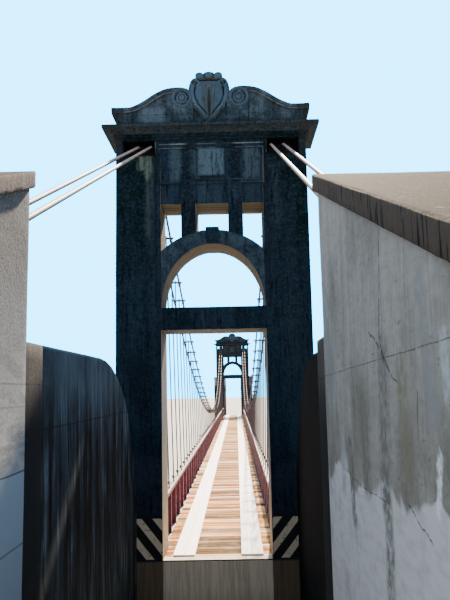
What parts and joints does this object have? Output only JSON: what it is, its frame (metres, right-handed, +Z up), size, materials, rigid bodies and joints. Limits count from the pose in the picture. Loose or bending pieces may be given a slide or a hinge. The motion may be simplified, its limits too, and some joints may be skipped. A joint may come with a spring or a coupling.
{
  "type": "suspension footbridge, 1:10 scale model",
  "caption": "Scale model of a suspension footbridge: masonry portals, paired main cables, hung steel sides, a planked deck and anchor blocks.",
  "frame": {"origin": "on the ground under midspan, at the centre of the model's footprint", "axes": "+Y along the bridge from the near portal to the far one, +Z up, +X to the right of someone who walks that way"},
  "size_m": [0.527, 9.821, 1.15],
  "materials": {
    "portal_concrete": "weathered render, streaked black",
    "wall_concrete": "weathered board-marked concrete",
    "painted_steel": "dull maroon paint",
    "cable_steel": "dull weathered wire rope",
    "saddle_iron": "rough cast",
    "deck_timber": "sun-bleached planks",
    "track_boards": "pale worn boards"
  },
  "bodies": {
    "root": {"near_left_leg": "portal_concrete", "near_right_leg": "portal_concrete", "near_sill": "portal_concrete", "near_beam": "portal_concrete", "near_arch": "portal_concrete", "near_window_head": "portal_concrete", "near_cornice": "portal_concrete", "near_pediment": "portal_concrete", "near_cartouche": "portal_concrete", "near_left_saddle": "saddle_iron", "near_right_saddle": "saddle_iron", "near_left_anchor_block": "wall_concrete", "near_right_anchor_block": "wall_concrete", "near_left_wing_wall": "wall_concrete", "near_right_wing_wall": "wall_concrete", "far_left_leg": "portal_concrete", "far_right_leg": "portal_concrete", "far_sill": "portal_concrete", "far_beam": "portal_concrete", "far_arch": "portal_concrete", "far_window_head": "portal_concrete", "far_cornice": "portal_concrete", "far_pediment": "portal_concrete", "far_cartouche": "portal_concrete", "far_left_saddle": "saddle_iron", "far_right_saddle": "saddle_iron", "far_left_anchor_block": "wall_concrete", "far_right_anchor_block": "wall_concrete", "far_left_wing_wall": "wall_concrete", "far_right_wing_wall": "wall_concrete", "left_outer_cable": "cable_steel", "left_inner_cable": "cable_steel", "right_outer_cable": "cable_steel", "right_inner_cable": "cable_steel", "left_near_side": "painted_steel", "left_middle_side": "painted_steel", "left_far_side": "painted_steel", "right_near_side": "painted_steel", "right_middle_side": "painted_steel", "right_far_side": "painted_steel", "deck_frame": "painted_steel", "deck_planks": "deck_timber", "left_track": "track_boards", "right_track": "track_boards"}
  },
  "joints": []
}
